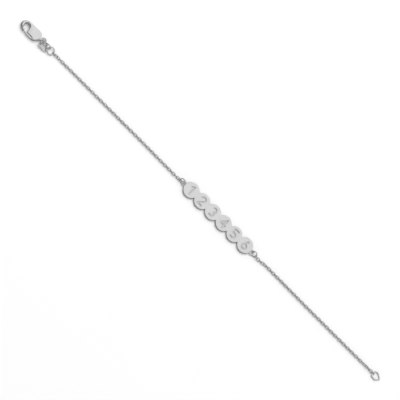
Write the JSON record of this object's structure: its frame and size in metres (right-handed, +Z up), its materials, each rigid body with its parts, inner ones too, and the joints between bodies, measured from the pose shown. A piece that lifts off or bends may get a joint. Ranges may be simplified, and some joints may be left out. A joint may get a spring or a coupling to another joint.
{
  "type": "nameplate bracelet",
  "caption": "Fine chain bracelet with a row of joined round plates bearing recessed digits, a trigger clasp with an oval tag and an end ring, laid open and straight.",
  "frame": {"origin": "on the surface it lies on, below the middle of the bracelet's whole length", "axes": "+X along the bracelet from the clasp to the end ring, +Y towards the tops of the digits, +Z up from the surface"},
  "size_m": [0.1778, 0.0062, 0.0024],
  "materials": {
    "polished_silver": "polished solid silver with fine wear",
    "chain_silver": "polished silver wire"
  },
  "bodies": {
    "bracelet": {"nameplate": "polished_silver", "plate_ring_left": "polished_silver", "plate_ring_right": "polished_silver", "chain_left": "chain_silver", "chain_right": "chain_silver", "chain_ring": "polished_silver", "clasp_ring_near": "polished_silver", "clasp_ring_far": "polished_silver", "tag_ring": "polished_silver", "tag": "polished_silver", "clasp_body": "polished_silver", "clasp_pin": "polished_silver", "end_ring": "polished_silver"},
    "clasp_lever": {"clasp_lever": "polished_silver"}
  },
  "joints": [
    {"name": "lever_hinge", "type": "hinge", "parent": "bracelet", "child": "clasp_lever", "pos_m": [-0.0819, -0.00165, 0.00085], "axis": [0, 0, -1], "range_deg": [0, 16], "stiffness_Nm_per_rad": 0.000002, "springref_deg": -5.73}
  ]
}
